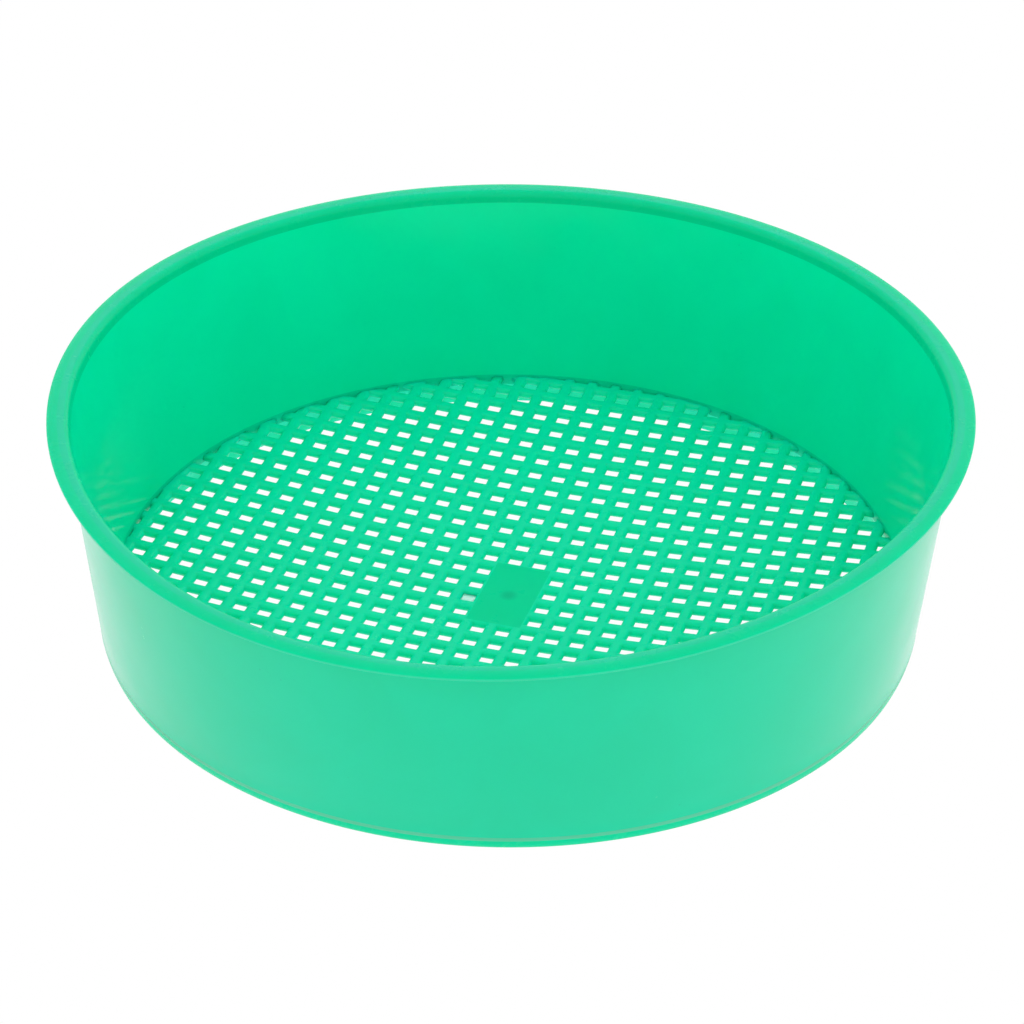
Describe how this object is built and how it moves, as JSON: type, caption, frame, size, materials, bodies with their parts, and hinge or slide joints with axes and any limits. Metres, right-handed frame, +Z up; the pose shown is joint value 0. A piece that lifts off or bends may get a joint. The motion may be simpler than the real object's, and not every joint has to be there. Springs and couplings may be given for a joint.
{
  "type": "soil sieve",
  "caption": "Round moulded garden sieve with a tapered wall, an outward rim and a square-hole rib floor for sifting soil and compost.",
  "frame": {"origin": "on the round sieve's axis, at the level of the foot that it stands on", "axes": "+Z up along the axis, from the foot to the rim; the ribs are turned 17 degrees clockwise from +Y, seen from above"},
  "size_m": [0.376, 0.376, 0.0976],
  "materials": {
    "green_plastic": "satin gloss, slightly translucent"
  },
  "bodies": {
    "root": {"rim_flange": "green_plastic", "side_wall": "green_plastic", "lengthwise_ribs": "green_plastic", "crosswise_ribs": "green_plastic", "centre_pad": "green_plastic", "foot_skirt": "green_plastic"}
  },
  "joints": []
}
